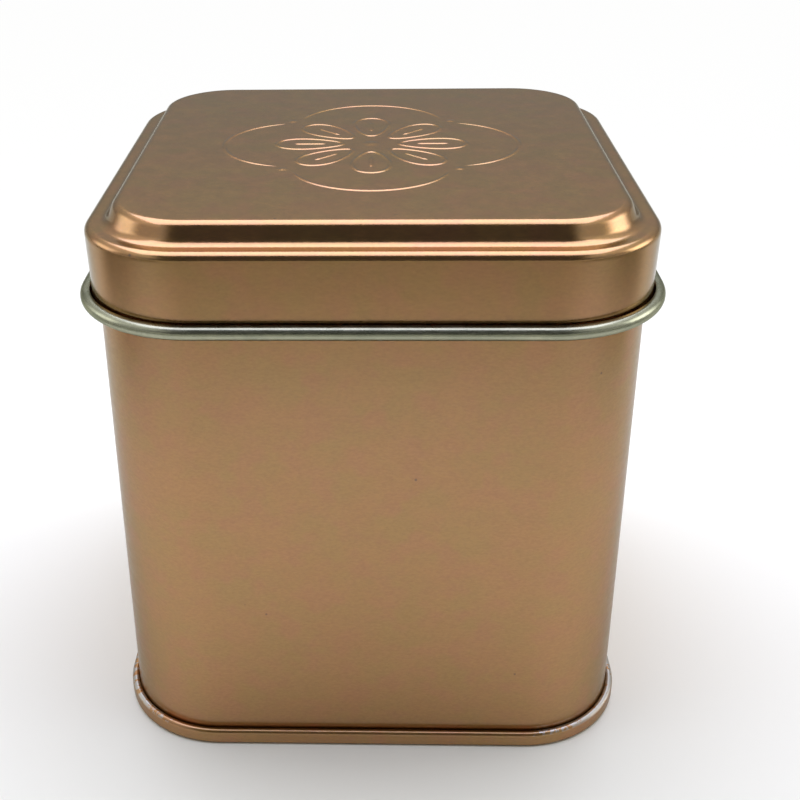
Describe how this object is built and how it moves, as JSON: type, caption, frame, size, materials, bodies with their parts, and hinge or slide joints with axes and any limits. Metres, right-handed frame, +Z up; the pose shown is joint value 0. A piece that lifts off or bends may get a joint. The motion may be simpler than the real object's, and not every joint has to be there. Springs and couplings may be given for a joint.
{
  "type": "square tin with lift-off lid",
  "caption": "Square sheet-metal storage tin with rounded corners, a rolled-rim lift-off lid with a raised panel, and a seamed base.",
  "frame": {"origin": "centre of the tin's footprint, on the surface that it stands on", "axes": "+Z up out of the lid, -Y towards the front, away from the lock seam in the back wall"},
  "size_m": [0.0802, 0.0802, 0.0829],
  "materials": {
    "lid_lacquer": "satin copper-coloured lacquer",
    "body_lacquer": "satin copper-coloured lacquer with a fine mottle",
    "base_lacquer": "satin copper-coloured lacquer, worn at the seam's edges"
  },
  "bodies": {
    "tin_body": {"body_wall": "body_lacquer", "base_plate": "base_lacquer"},
    "tin_lid": {"lid": "lid_lacquer"}
  },
  "joints": [
    {"name": "lid_lift", "type": "slide", "parent": "tin_body", "child": "tin_lid", "axis": [0, 0, 1], "range_m": [0, 0.06]}
  ]
}
